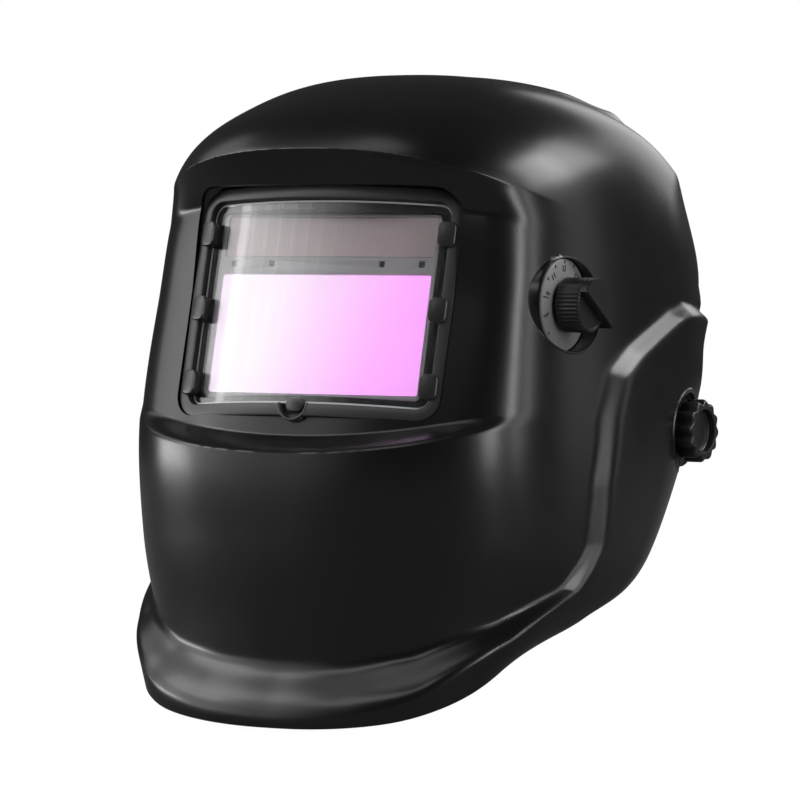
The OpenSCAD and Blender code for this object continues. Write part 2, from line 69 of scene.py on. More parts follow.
# ------------------------------------------------------------------ camera
CAMERA_DISTANCE = 2.2
CAMERA_AZ, CAMERA_EL = math.radians(30.0), math.radians(2.5)
ahead = Vector((-math.sin(CAMERA_AZ) * math.cos(CAMERA_EL), math.cos(CAMERA_AZ) * math.cos(CAMERA_EL),
                -math.sin(CAMERA_EL)))
across = Vector((math.cos(CAMERA_AZ), math.sin(CAMERA_AZ), 0))
cam = in_scene("camera", bpy.data.cameras.new("camera"))
cam.data.sensor_width = 36
cam.data.lens = 212.9
cam.data.clip_end = 50
cam.location = -CAMERA_DISTANCE * ahead
aim = across * -0.0293 + across.cross(ahead) * 0.01144
cam.rotation_mode = "QUATERNION"
cam.rotation_quaternion = (aim - cam.location).to_track_quat("-Z", "Y")
bpy.context.scene.camera = cam


# ------------------------------------------------------------------ material helpers
def nodes_of(m):
    m.use_nodes = True
    nt = m.node_tree
    return nt, nt.nodes["Principled BSDF"]


def node(nt, kind, **inputs):
    """New shader node: p_NAME sets a property, any other name sets that input."""
    n = nt.nodes.new(kind)
    for k, v in inputs.items():
        if k.startswith("p_"):
            setattr(n, k[2:], v)
        else:
            n.inputs[k.replace("_", " ")].default_value = v
    return n


def material(name):
    """New material, its node tree, its Principled node and the object's own coordinates."""
    m = bpy.data.materials.new(name)
    nt, b = nodes_of(m)
    return m, nt, b, node(nt, "ShaderNodeTexCoord").outputs["Object"]


def texture(nt, kind, at, **inputs):
    t = node(nt, "ShaderNodeTex" + kind, **inputs)
    nt.links.new(at, t.inputs["Vector"])
    return t


def sums(nt, a, b, operation="ADD", **inputs):
    """Maths on two outputs; b may be a plain number."""
    n = node(nt, "ShaderNodeMath", p_operation=operation, **inputs)
    for value, socket in ((a, n.inputs[0]), (b, n.inputs[1])):
        if isinstance(value, float):
            socket.default_value = value
        else:
            nt.links.new(value, socket)
    return n


def tones(nt, source, stops):
    """Colour that runs through stops [(position, colour)] as source rises."""
    ramp = node(nt, "ShaderNodeValToRGB")
    while len(ramp.color_ramp.elements) < len(stops):
        ramp.color_ramp.elements.new(.5)
    for e, (p, c) in zip(ramp.color_ramp.elements, stops):
        e.position, e.color = p, list(c) + [1]
    nt.links.new(source, ramp.inputs["Fac"])
    return ramp.outputs["Color"]


def roughen(nt, b, source, low, high):
    rr = node(nt, "ShaderNodeMapRange", To_Min=low, To_Max=high)
    nt.links.new(source, rr.inputs["Value"])
    nt.links.new(rr.outputs["Result"], b.inputs["Roughness"])


def emboss(nt, b, source, strength, distance):
    bmp = node(nt, "ShaderNodeBump", Strength=strength, Distance=distance)
    nt.links.new(source, bmp.inputs["Height"])
    nt.links.new(bmp.outputs["Normal"], b.inputs["Normal"])


# ------------------------------------------------------------------ materials
def plastic(name, base, rough=0.42, grain=900.0, bump=0.06, var=0.10, wear=0.0):
    """Moulded plastic: fine leathery grain in the bump, cloudy roughness and tone, paler worn edges."""
    m, nt, b, at = material(name)
    b.inputs["IOR"].default_value = 1.5
    cloud = texture(nt, "Noise", at, Scale=26.0, Detail=4.0, Roughness=0.55)
    fine = texture(nt, "Noise", at, Scale=grain, Detail=2.0, Roughness=0.5)
    cells = texture(nt, "Voronoi", at, Scale=grain * 0.8)
    colour = tones(nt, cloud.outputs["Fac"], [(.3, [max(0.0, c * (1 - var)) for c in base]),
                                              (.7, [min(1.0, c * (1 + var) + 0.001) for c in base])])
    if wear > 0:
        geo = node(nt, "ShaderNodeNewGeometry")
        edge = node(nt, "ShaderNodeMapRange", From_Min=0.52, From_Max=0.62, To_Min=0.0, To_Max=wear)
        nt.links.new(geo.outputs["Pointiness"], edge.inputs["Value"])
        mix = node(nt, "ShaderNodeMix", p_data_type="RGBA")
        mix.inputs[7].default_value = [min(1.0, c * 2.2 + 0.02) for c in base] + [1]
        nt.links.new(edge.outputs["Result"], mix.inputs[0])
        nt.links.new(colour, mix.inputs[6])
        colour = mix.outputs[2]
    nt.links.new(colour, b.inputs["Base Color"])
    roughen(nt, b, cloud.outputs["Fac"], rough - .036, rough + .036)
    emboss(nt, b, sums(nt, fine.outputs["Fac"], cells.outputs["Distance"]).outputs[0], bump, .0002)
    return m


def metal(name, base, rough=0.3, streak=(1.0, 1.0, 12.0), scale=260.0, spots=0.06):
    """Turned or plated metal: streaks along the lathe marks, light stains."""
    m, nt, b, at = material(name)
    b.inputs["Metallic"].default_value = 1.0
    mp = node(nt, "ShaderNodeMapping", Scale=streak)
    nt.links.new(at, mp.inputs["Vector"])
    marks = texture(nt, "Noise", mp.outputs["Vector"], Scale=scale, Detail=4.0, Roughness=0.6)
    stain = texture(nt, "Noise", at, Scale=60.0, Detail=5.0)
    nt.links.new(tones(nt, stain.outputs["Fac"], [(.3, [c * (1 - spots * 3) for c in base]),
                                                  (.65, [min(1, c * (1 + spots)) for c in base])]),
                 b.inputs["Base Color"])
    roughen(nt, b, marks.outputs["Fac"], rough - 0.08, rough + 0.12)
    emboss(nt, b, marks.outputs["Fac"], .08, .0001)
    return m


def glass(name, tint, rough):
    """Clear polycarbonate with a faint haze and the gentle waves of moulding."""
    m, nt, b, at = material(name)
    b.inputs["Transmission Weight"].default_value = 1.0
    b.inputs["IOR"].default_value = 1.5
    haze = texture(nt, "Noise", at, Scale=38.0, Detail=5.0)
    roughen(nt, b, haze.outputs["Fac"], rough, rough + .03)
    tone = tones(nt, haze.outputs["Fac"], [(0, [c * .985 for c in tint]), (1, tint)])
    nt.links.new(tone, b.inputs["Base Color"])
    wave = texture(nt, "Noise", at, Scale=9.0, Detail=1.0)
    emboss(nt, b, wave.outputs["Fac"], .012, .0004)
    return m


def lcd_painted_glow():
    """Liquid crystal view in the coating's pink lilac, painted to glow with its own light though it is no lamp;
    the ramp from near white on the left to strong pink on the right is a painted reflection over that tint.
    """
    m, nt, b, at = material("lcd_pink_painted_glow")
    sep = node(nt, "ShaderNodeSeparateXYZ")
    nt.links.new(at, sep.inputs[0])
    lean = sums(nt, sep.outputs["Z"], -.28, "MULTIPLY_ADD")
    nt.links.new(sep.outputs["X"], lean.inputs[2])
    width = node(nt, "ShaderNodeMapRange", From_Min=-.066, From_Max=.044)
    nt.links.new(lean.outputs[0], width.inputs["Value"])
    # painted reflection: paler towards the left, over the coating's own pink lilac
    colour = tones(nt, width.outputs["Result"],
                   [(0, (.74, .62, .74)), (.22, (.80, .68, .80)), (.5, (.90, .58, .90)), (.8, (1, .44, 1)),
                    (1, (.98, .40, .98))])
    grain = texture(nt, "Noise", at, Scale=400.0, Detail=2.0)
    roughen(nt, b, grain.outputs["Fac"], .05, .11)
    nt.links.new(colour, b.inputs["Base Color"])
    nt.links.new(colour, b.inputs["Emission Color"])
    # painted glow: the view gives off light of its own, though nothing inside lights it
    b.inputs["Emission Strength"].default_value = .77
    return m


def solar_material():
    """Amorphous solar strip: dusty mauve glass ruled with fine upright cell lines."""
    m, nt, b, at = material("solar_mauve")
    b.inputs["Coat Weight"].default_value = .6
    sep = node(nt, "ShaderNodeSeparateXYZ")
    nt.links.new(at, sep.inputs[0])
    cell = sums(nt, sep.outputs["X"], 1 / .0021, "MULTIPLY")
    part = node(nt, "ShaderNodeMath", p_operation="FRACT")
    nt.links.new(cell.outputs[0], part.inputs[0])
    nt.links.new(tones(nt, part.outputs[0], [(0, (.80, .66, .66)), (.16, (.70, .56, .57))]),
                 b.inputs["Base Color"])
    dust = texture(nt, "Noise", at, Scale=120.0, Detail=3.0)
    roughen(nt, b, dust.outputs["Fac"], .12, .24)
    return m


def board_material():
    """Green solder mask, paler over its tracks."""
    m, nt, b, at = material("board_green")
    mp = node(nt, "ShaderNodeMapping", Rotation=(math.radians(90), 0, 0))
    nt.links.new(at, mp.inputs["Vector"])
    brick = texture(nt, "Brick", mp.outputs["Vector"], Scale=210.0, Mortar_Size=.045, Brick_Width=.9,
                    Row_Height=.32, Color1=(.010, .085, .035, 1), Color2=(.012, .105, .045, 1),
                    Mortar=(.030, .190, .085, 1))
    nt.links.new(brick.outputs["Color"], b.inputs["Base Color"])
    dust = texture(nt, "Noise", at, Scale=300.0, Detail=3.0)
    roughen(nt, b, dust.outputs["Fac"], .18, .34)
    emboss(nt, b, brick.outputs["Fac"], .15, .00006)
    return m


def towelling(name, base, loop=1100.0):
    """Brushed terry over foam: small loops in the bump, a soft sheen, and a tone that is cloudy at random and
    darker where the loops' bump lies lowest, which is painted shade.
    """
    m, nt, b, at = material(name)
    for socket, value in (("Sheen Weight", .35), ("Sheen Roughness", .45), ("Roughness", .92),
                          ("Specular IOR Level", .18)):
        b.inputs[socket].default_value = value
    cell = texture(nt, "Voronoi", at, Scale=loop)
    fibre = texture(nt, "Noise", at, Scale=loop * 3, Detail=3.0, Roughness=.7)
    cloud = texture(nt, "Noise", at, Scale=55.0, Detail=4.0)
    # painted shade: the tone follows the loop cells, darker at each cell's middle where the bump dips, with a
    # random cloudy tone on top
    mix = sums(nt, cell.outputs["Distance"], .55, "MULTIPLY_ADD")
    nt.links.new(cloud.outputs["Fac"], mix.inputs[2])
    nt.links.new(tones(nt, mix.outputs[0], [(.35, [c * .55 for c in base]), (.85, [c * 1.5 for c in base])]),
                 b.inputs["Base Color"])
    emboss(nt, b, sums(nt, cell.outputs["Distance"], fibre.outputs["Fac"]).outputs[0], .55, .0004)
    return m


shell_black = plastic("shell_black", (.0045, .0045, .0048), rough=.26, grain=2600, bump=.04)
black = plastic("moulded_black", (.010, .010, .0105), rough=.34, grain=2400, bump=.05, wear=.15)
charcoal = plastic("charcoal_frame", (.030, .030, .032), rough=.42, grain=2600, bump=.06, wear=.2)
clip_grey = plastic("clip_grey", (.020, .020, .021), rough=.34, grain=1800, bump=.05, wear=.2)
# pale grey: a painted glint, used for the ring round the cover lens's edge
lens_rim_glint = plastic("painted_rim_glint", (.62, .63, .64), rough=.16, grain=700, bump=.02, var=.04)
sensor_black = plastic("sensor_black", (.012, .011, .014), rough=.14, grain=500, bump=.02)
case_grey = plastic("cartridge_grey", (.58, .58, .585), rough=.34, grain=2200, bump=.06, var=.05)
dial_grey = plastic("dial_grey", (.20, .20, .205), rough=.38, grain=1800, bump=.05, var=.06)
ink = plastic("scale_ink", (.012, .012, .012), rough=.5, grain=1500, bump=.02)
lead_rubber = plastic("lead_rubber", (.012, .012, .013), rough=.5, grain=1200, bump=.08)
gear_black = plastic("headgear_black", (.013, .013, .0135), rough=.40, grain=1900, bump=.07, wear=.25)
tail_black = plastic("tail_black", (.020, .020, .021), rough=.38, grain=1700, bump=.06, wear=.3)
nylon = plastic("nylon_grey", (.045, .045, .046), rough=.46, grain=1500, bump=.05, wear=.2)
acetal = plastic("acetal_white", (.68, .66, .60), rough=.38, grain=900, bump=.03, var=.05)
zinc = metal("zinc_plate", (.56, .57, .58), rough=.32, streak=(12.0, 1.0, 1.0))
spring_steel = metal("spring_steel", (.47, .48, .50), rough=.26, streak=(1.0, 9.0, 1.0), scale=400)
brass = metal("brass_insert", (.72, .52, .22), rough=.28, streak=(14.0, 1.0, 1.0), spots=.10)
tin = metal("tinned_can", (.60, .61, .62), rough=.30, streak=(1.0, 1.0, 1.0), scale=120)
cell_steel = metal("cell_steel", (.62, .63, .64), rough=.24, streak=(1.0, 5.0, 1.0), scale=180)
pad_cloth = towelling("pad_towelling", (.030, .031, .034))


# ------------------------------------------------------------------ mesh helpers
def new_obj(name, verts, faces, angle=35.0):
    me = bpy.data.meshes.new(name)
    me.from_pydata([tuple(v) for v in verts], [], [tuple(f) for f in faces])
    me.validate()
    me.update()
    ob = in_scene(name, me)
    me.shade_smooth()
    me.set_sharp_from_angle(angle=math.radians(angle))
    return ob


def bake_modifiers(ob, angle=35.0):
    dg = bpy.context.evaluated_depsgraph_get()
    me = bpy.data.meshes.new_from_object(ob.evaluated_get(dg))
    old = ob.data
    ob.modifiers.clear()
    ob.data = me
    me.name = ob.name
    bpy.data.meshes.remove(old)
    me.shade_smooth()
    me.set_sharp_from_angle(angle=math.radians(angle))
    return ob


def cut(ob, tool, op="DIFFERENCE"):
    mod = ob.modifiers.new("cut", "BOOLEAN")
    mod.operation, mod.solver, mod.object = op, "MANIFOLD", tool
    bake_modifiers(ob)
    bpy.data.objects.remove(tool)
    return ob


def closed_faces(ob):
    bm = bmesh.new()
    bm.from_mesh(ob.data)
    bmesh.ops.recalc_face_normals(bm, faces=bm.faces)
    bm.to_mesh(ob.data)
    bm.free()


def paint(ob, mat):
    ob.data.materials.clear()
    ob.data.materials.append(mat)


def rings(name, loops, mat=None, angle=35.0, closed=False):
    """Skin over closed loops of equal length: capped at both ends, or joined into a ring if closed."""
    n, m = len(loops[0]), len(loops)
    verts = [p for l in loops for p in l]
    faces = []
    for i in range(m if closed else m - 1):
        j = (i + 1) % m
        for k in range(n):
            k2 = (k + 1) % n
            faces.append((i * n + k, i * n + k2, j * n + k2, j * n + k))
    if not closed:
        faces.append(tuple(reversed(range(n))))
        faces.append(tuple((m - 1) * n + k for k in range(n)))
    ob = new_obj(name, verts, faces, angle)
    closed_faces(ob)
    ob.data.shade_smooth()
    ob.data.set_sharp_from_angle(angle=math.radians(angle))
    if mat:
        ob.data.materials.append(mat)
    return ob


def around(centre, x, r, t):
    """Point at radius r and angle t about an axis along X."""
    return (x, centre[1] + r * math.cos(t), centre[2] + r * math.sin(t))


def lathe_x(name, profile, centre, side=1):
    """Turned piece about X from a profile of (x, r) in metres."""
    return rings(name, [[around(centre, side * x, r, t) for t in turn(96)] for x, r in profile])


def pinned(ob, body, slot, stands_in=True):
    """The piece rides on body; when it stands in, the CAD node slot is hidden in its place."""
    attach(ob, body)
    if stands_in:
        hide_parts(slot)
    return ob


def bevelled(cad, width, body, segs, mat):
    """A CAD node's own shape with its edges rounded off."""
    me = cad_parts[cad].data.copy()
    ob = in_scene(cad + "_finished", me)
    bm = bmesh.new()
    bm.from_mesh(me)
    bmesh.ops.remove_doubles(bm, verts=bm.verts, dist=2e-6)
    bmesh.ops.dissolve_limit(bm, angle_limit=math.radians(1.2), verts=bm.verts, edges=bm.edges)
    bmesh.ops.recalc_face_normals(bm, faces=bm.faces)
    bm.to_mesh(me)
    bm.free()
    if "custom_normal" in me.attributes:
        me.attributes.remove(me.attributes["custom_normal"])
    mod = ob.modifiers.new("round", "BEVEL")
    mod.width, mod.segments, mod.limit_method = width, segs, "ANGLE"
    mod.angle_limit = math.radians(32)
    mod.use_clamp_overlap = True
    bake_modifiers(ob)
    paint(ob, mat)
    return pinned(ob, body, cad)


# ------------------------------------------------------------------ shell surface, from the CAD's own rules
# per row up the front: v, front y and z, rear y and z, half width front and rear, bow share, squareness (mm)
STATIONS = np.array([
    [0.00, -157, -118, -104, -92, 86, 84, 0.95, 2.3],
    [0.12, -160, -84, -72, -80, 101, 97, 0.92, 2.3],
    [0.24, -163, -44, -26, -58, 112, 103, 0.84, 2.6],
    [0.36, -163, -3, 26, 8, 115, 102, 0.76, 3.0],
    [0.50, -154, 62, 43, 40, 112, 97, 0.76, 3.1],
    [0.64, -141, 124, 60, 66, 108, 92, 0.70, 2.9],
    [0.76, -100, 151, 64, 86, 102, 85, 0.66, 2.5],
    [0.88, -42, 161, 62, 102, 92, 72, 0.74, 2.3],
    [1.00, 56, 148, 58, 114, 74, 58, 0.90, 2.1]], float)
RIDGE = [(0, .034), (.16, .038), (.30, .054), (.45, .115), (.54, .19), (.555, .25), (.53, .31), (.522, .375),
         (.535, .428), (.57, .458), (.675, .525), (.74, .54), (1.05, .562)]
ROUND, UP = 230, 400                  # millimetres that one unit of u and of v stand for along the ridge
TURN = 0.68                           # the share of u that goes round the front; the rest is the side
LEDGE_LOW, LEDGE_HIGH, PANEL_TOP, BROW = 0.352, 0.368, 0.61, 0.648
LEDGE_BEND, BROW_ARCH = .028, .028    # how far the ledge and the brow bend in at their ends
WALL = 2.5


def smooth(a, b, x):
    t = np.clip((x - a) / (b - a), 0, 1)
    return t * t * (3 - 2 * t)


def along(v, c):
    """Column c of STATIONS at v, on a smooth curve through the rows."""
    x, y = STATIONS[:, 0], STATIONS[:, c]
    m = np.zeros(len(x))
    m[1:-1] = (y[2:] - y[:-2]) / (x[2:] - x[:-2])
    m[0], m[-1] = (y[1] - y[0]) / (x[1] - x[0]), (y[-1] - y[-2]) / (x[-1] - x[-2])
    i = np.clip(np.searchsorted(x, v, side="right") - 1, 0, len(x) - 2)
    h = x[i + 1] - x[i]
    t = (v - x[i]) / h
    return (y[i] * (1 + 2 * t) * (1 - t) ** 2 + h * m[i] * t * (1 - t) ** 2 + y[i + 1] * t * t * (3 - 2 * t)
            + h * m[i + 1] * t * t * (t - 1))


def ridge_gap(u, v):
    """Signed distance to the ridge line in millimetres, positive on its outer side."""
    best, sign = np.full(np.shape(u), 1e9), np.ones(np.shape(u))
    for a, b in zip(RIDGE[:-1], RIDGE[1:]):
        ax, ay, bx, by = a[0] * ROUND, a[1] * UP, b[0] * ROUND, b[1] * UP
        px, py, ex, ey = u * ROUND - ax, v * UP - ay, bx - ax, by - ay
        t = np.clip((px * ex + py * ey) / (ex * ex + ey * ey), 0, 1)
        d = np.hypot(px - t * ex, py - t * ey)
        closer = d < best - 1e-9
        best = np.where(closer, d, best)
        sign = np.where(closer, np.where(ex * py - ey * px > 0, -1, 1), sign)
    return best * sign


def chin_share(q, v):
    return (1 - smooth(.25, .62, q)) * (1 - smooth(.1, .35, v))


def flare(q, v):
    """How far the flare and the side ridge stand out in millimetres, with softened edges as moulded."""
    reach = .8 + 2.4 * chin_share(q, v)
    total = weights = 0
    for i in range(-2, 3):
        for j in range(-2, 3):
            share = math.exp(-(i * i + j * j) / 2)
            qq, vv = np.abs(q + i * reach / ROUND), v + j * reach / UP
            c = chin_share(qq, vv)
            total = total + share * (5 + 11 * c) * smooth(-5 - 9 * c, 5 + 5 * c, ridge_gap(qq, vv))
            weights += share
    return total / weights


def hump(q, v):
    """Low scoop at the back of the crown."""
    return 4.0 * (1 - smooth(0.28, 0.38, q)) * smooth(0.885, 0.924, v)


def recess(x, v):
    """How far the window's panel lies in, in millimetres, between the ledge and the brow."""
    up = (v - LEDGE_HIGH) / (PANEL_TOP - LEDGE_HIGH)
    depth = 12.5 + 6 * up + 2.5 * np.sin(np.clip(up, 0, 1) * math.pi)
    ends = np.clip(x / 105, 0, 1) ** 2
    arch, bend = BROW_ARCH * ends, LEDGE_BEND * ends
    lip = np.clip((BROW - arch - v) / (BROW - PANEL_TOP), 0, 1)
    lip = np.maximum(np.sqrt(lip ** 2 + 0.0016) - 0.04, 0) / 0.961
    top = np.where(v > PANEL_TOP - arch, np.clip(lip, 0, 1) ** 0.8, 1)
    t = np.clip((v - bend - LEDGE_LOW) / (LEDGE_HIGH - LEDGE_LOW), 0, 1)
    low = 0.45 * t + 0.55 * t * t * (3 - 2 * t)
    inside = (v > LEDGE_LOW + bend) & (v < BROW - arch)
    return depth * (1 - smooth(60, 108, x)) * top * low * inside


def skin(u, v, sunk=0.0):
    """Point of the outer surface in metres; sunk is how far in, in millimetres."""
    Py, Pz, Ry, Rz, w, xr, af, n = [along(v, c) for c in range(1, 9)]
    L = np.hypot(Ry - Py, Rz - Pz)
    dy, dz, A = (Ry - Py) / L, (Rz - Pz) / L, af * L
    q = np.abs(u)
    th = np.clip(q / TURN, 0, 1) * math.pi / 2
    s, c = np.maximum(np.sin(th), 1e-6), np.maximum(np.cos(th), 1e-6)
    k = (s ** n + c ** n) ** (-1 / n)
    e = np.clip((q - TURN) / (1 - TURN), 0, 1)
    front = q < TURN
    x = np.where(front, w * s * k, w - (w - xr) * e * e)
    a = np.where(front, A * (1 - c * k), A + (L - A) * e)
    gx = np.where(front, (x / w) ** (n - 1) / w, 1.0)
    ga = np.where(front, -(np.maximum(A - a, 0) / A) ** (n - 1) / A, 2 * (w - xr) * e / np.maximum(L - A, 1e-6))
    g = np.hypot(gx, ga)
    rise = flare(q, v) + hump(q, v) - sunk
    d = a + ga / g * rise + recess(x, v)
    return np.stack([np.sign(u) * (x + gx / g * rise), Py + dy * d, Pz + dz * d], -1) * MM


def shares(stops, counts):
    """Even steps from each stop to the next, counts of them."""
    out = [stops[0]]
    for a, b, n in zip(stops[:-1], stops[1:], counts):
        out += list(np.linspace(a, b, n + 1)[1:])
    return np.array(out)


def build_shell():
    """Outer and inner skins over one grid, joined by a rounded rim."""
    rows = shares([0, .08, .20, .348, .402, .60, .652, .88, .93, 1.0],
                  [36, 36, 34, 40, 40, 56, 44, 18, 14])
    half = shares([0, .28, .38, .5, .62, 1.0], [34, 20, 16, 22, 46])
    U, V = np.meshgrid(np.concatenate([-half[:0:-1], half]), rows)
    out, inn = skin(U, V), skin(U, V, WALL)
    nr, nc = U.shape
    m = nr * nc
    faces = []
    for j in range(nr - 1):
        for i in range(nc - 1):
            a = j * nc + i
            faces.append((a, a + 1, a + nc + 1, a + nc))
            faces.append((m + a, m + a + nc, m + a + nc + 1, m + a + 1))
    # rounded rim: a half turn from the outer edge to the inner one
    ring = ([(0, i) for i in range(nc)] + [(j, nc - 1) for j in range(1, nr)]
            + [(nr - 1, i) for i in range(nc - 2, -1, -1)] + [(j, 0) for j in range(nr - 2, 0, -1)])
    O = np.array([out[j, i] for j, i in ring])
    I = np.array([inn[j, i] for j, i in ring])

    def inboard(k, count):
        return 2 if k == 0 else (count - 3 if k == count - 1 else k)
    T = np.array([out[j, i] - out[inboard(j, nr), inboard(i, nc)] for j, i in ring])
    N = O - I
    N /= np.linalg.norm(N, axis=1, keepdims=True)
    T -= (T * N).sum(1, keepdims=True) * N
    T /= np.linalg.norm(T, axis=1, keepdims=True)
    half_wall = np.linalg.norm(O - I, axis=1, keepdims=True) / 2
    loops = [(O + I) / 2 + (O - I) / 2 * math.cos(a) + T * half_wall * math.sin(a)
             for a in np.radians((36, 72, 108, 144))]
    verts = np.concatenate([out.reshape(-1, 3), inn.reshape(-1, 3)] + loops)
    n = len(ring)
    ids = ([[j * nc + i for j, i in ring]] + [[2 * m + k * n + r for r in range(n)] for k in range(4)]
           + [[m + j * nc + i for j, i in ring]])
    for p, q in zip(ids[:-1], ids[1:]):
        for r in range(n):
            r2 = (r + 1) % n
            faces.append((p[r], q[r], q[r2], p[r2]))
    ob = new_obj("shell_skin", verts, faces)
    closed_faces(ob)
    return ob


# ------------------------------------------------------------------ wells in the shell's sides, and its window
PIVOT = (0, 0, 0)
DIAL = (0, -.0886, .058)
FLOOR, DIAL_FLOOR = .1135, .1005      # how far out the floors of the knobs' and the dial's wells stand
SIDE = skin(*np.meshgrid(np.linspace(.3, 1, 500), np.linspace(.2, .8, 500))).reshape(-1, 3)


def height(y, z):
    """How far out the shell's side stands at that place, in metres."""
    return SIDE[np.argmin((SIDE[:, 1] - y) ** 2 + (SIDE[:, 2] - z) ** 2), 0]


def well(centre, x0, r, wall, s):
    """Round well sunk in the side: its wall follows the shell's slope and ends in a small lip."""
    outer = r + wall
    rim = []
    for t in turn(128):
        _, y, z = around(centre, 0, outer, t)
        rim.append(max(height(y, z) + .0004, x0 + .002))
    steps = ((outer + .0004, None), (outer + .0004, .0016), (outer, .0006), (outer - .0006, 0))
    return rings("well", [[around(centre, s * (x0 if drop is None else x - drop), r2, t)
                           for x, t in zip(rim, turn(128))] for r2, drop in steps])


# window frame of reference: x across, y inwards, z up along the window
WINDOW_TILT = math.radians(13.8)
WINDOW = Matrix.Translation((0, -.1375, .060)) @ Matrix.Rotation(-WINDOW_TILT, 4, "X")
BEND = .187                           # radius of the window's bend across


def on_front(x, depth, z):
    return WINDOW @ Vector((x, depth + BEND - math.sqrt(BEND * BEND - x * x), z))


def rounded_outline(w, h, r, n=10):
    """Corner points of a rounded rectangle, as (x, z)."""
    pts = []
    for cx, cz, a0 in ((w / 2 - r, h / 2 - r, 0), (-w / 2 + r, h / 2 - r, 90), (-w / 2 + r, -h / 2 + r, 180),
                       (w / 2 - r, -h / 2 + r, 270)):
        for k in range(n + 1):
            a = math.radians(a0 + 90 * k / n)
            pts.append((cx + r * math.cos(a), cz + r * math.sin(a)))
    return pts


def outline(w, h, r, step=.003):
    """Closed rounded rectangle with even points, as (x, z, outward x, outward z)."""
    pts = []
    for i, (cx, cz, a0) in enumerate(((w / 2 - r, h / 2 - r, 0), (-w / 2 + r, h / 2 - r, 90),
                                      (-w / 2 + r, -h / 2 + r, 180), (w / 2 - r, -h / 2 + r, 270))):
        for k in range(11):
            a = math.radians(a0 + 9 * k)
            pts.append((cx + r * math.cos(a), cz + r * math.sin(a), math.cos(a), math.sin(a)))
        run = (w if i % 2 == 0 else h) - 2 * r
        n = max(2, int(run / step))
        a = math.radians(a0 + 90)
        x0, z0 = pts[-1][:2]
        for k in range(1, n):
            on = run * k / n
            pts.append((x0 - math.sin(a) * on, z0 + math.cos(a) * on, math.cos(a), math.sin(a)))
    return pts


def slab(name, path, depths, mat=None, bent=False):
    """Plate of that outline through depths [(y, shrink)], laid on the bent front if asked."""
    loops = []
    for y, shrink in depths:
        loop = []
        for i, (x, z) in enumerate(path):
            (px, pz), (qx, qz) = path[i - 1], path[(i + 1) % len(path)]
            tx, tz = qx - px, qz - pz
            l = math.hypot(tx, tz) or 1
            x2, z2 = x - shrink * tz / l, z + shrink * tx / l
            loop.append(on_front(x2, y, z2) if bent else WINDOW @ Vector((x2, y, z2)))
        loops.append(loop)
    return rings(name, loops, mat)


shell = build_shell()
for s in (1, -1):
    cut(shell, well(PIVOT, .102, .0172, .0023, s), "UNION")
    cut(shell, lathe_x("floor", [(.102, .0165), (FLOOR, .0165)], PIVOT, s), "UNION")
cut(shell, well(DIAL, .0915, .0206, .0011, 1), "UNION")
cut(shell, lathe_x("floor", [(.0915, .0215), (.0998, .0215), (DIAL_FLOOR, .0212)], DIAL), "UNION")
for s in (1, -1):
    cut(shell, lathe_x("sunk", [(FLOOR, .0167), (FLOOR + .0006, .0172), (.1400, .0172)], PIVOT, s))
    cut(shell, lathe_x("bore", [(.0995, .00655), (.1240, .00655)], PIVOT, s))
cut(shell, lathe_x("sunk", [(DIAL_FLOOR, .0202), (DIAL_FLOOR + .0005, .0206), (.1250, .0206)], DIAL))
cut(shell, lathe_x("shaft_way", [(.0855, .004), (.1095, .004)], DIAL))
cut(shell, slab("window_way", rounded_outline(.1368, .1028, .0104), [(-.014, 0), (.032, 0)]))
paint(shell, shell_black)
pinned(shell, "hood", "shell")


# ------------------------------------------------------------------ lens frame, cover lens and cartridge
def border(name, path, section, mat):
    """Frame: a closed section of (outward, depth) carried round a closed outline on the bent front."""
    return rings(name, [[on_front(x + o * nx, d, z + o * nz) for o, d in section] for x, z, nx, nz in path],
                 mat, 30, closed=True)


def plate(name, path, y0, y1, edge, mat):
    """Plate bent to the window's front, with softened edges; evenly meshed so that the bend shows."""
    steps = [.02, .2, .4, .55, .7, .82, .91, .97]
    loops = [[on_front(x * s, y0, z * s) for x, z, nx, nz in path] for s in steps]
    for o, d in ((-edge, y0), (-edge * .3, y0 + edge * .3), (0, y0 + edge), (0, y1 - edge),
                 (-edge * .3, y1 - edge * .3), (-edge, y1)):
        loops.append([on_front(x + o * nx, d, z + o * nz) for x, z, nx, nz in path])
    loops += [[on_front(x * s, y1, z * s) for x, z, nx, nz in path] for s in reversed(steps)]
    return rings(name, loops, mat, 40)


def tab(name, x, z, w, h, y0, y1, r):
    """Small rounded block on the front of the lens frame."""
    path = [(x + px, z + pz) for px, pz in rounded_outline(w, h, r, 6)]
    ob = slab(name, path, [(y1, 0), (y0 + .0007, 0), (y0 + .0002, .0003), (y0, .0008)], clip_grey, bent=True)
    return pinned(ob, "hood", "lens_frame", False)


# bent bezel with a seat for the cover lens and a flange behind the panel
SECTION = [(0, -.0003), (.0003, -.0008), (.0008, -.0010), (.0050, -.0010), (.0055, -.0007), (.0057, -.0002),
           (.0057, .0046), (.0094, .0046), (.0097, .0050), (.0097, .0066), (-.0043, .0066), (-.0043, .0047),
           (-.0040, .0044), (0, .0044)]
NOTCH_Z = -.0465                      # middle of the thumb notch below the window
bezel = border("lens_frame_bezel", outline(.1246, .0926, .0065), SECTION, None)
cut(bezel, slab("notch", [(.0066 * math.cos(a), NOTCH_Z + .0066 * math.sin(a)) for a in turn(48)],
                [(-.006, 0), (.0030, 0)]))
paint(bezel, charcoal)
pinned(bezel, "hood", "lens_frame")
for s, word in ((-1, "right"), (1, "left")):
    for i, z in enumerate((.032, -.002, -.036)):
        tab("lens_clip_%s_%d" % (word, i + 1), s * .0620, z, .0078, .0112, -.0026, .0028, .0026)
tab("lens_frame_tab", 0, -.0468, .0094, .0064, .0006, .0034, .0030)
loops = []
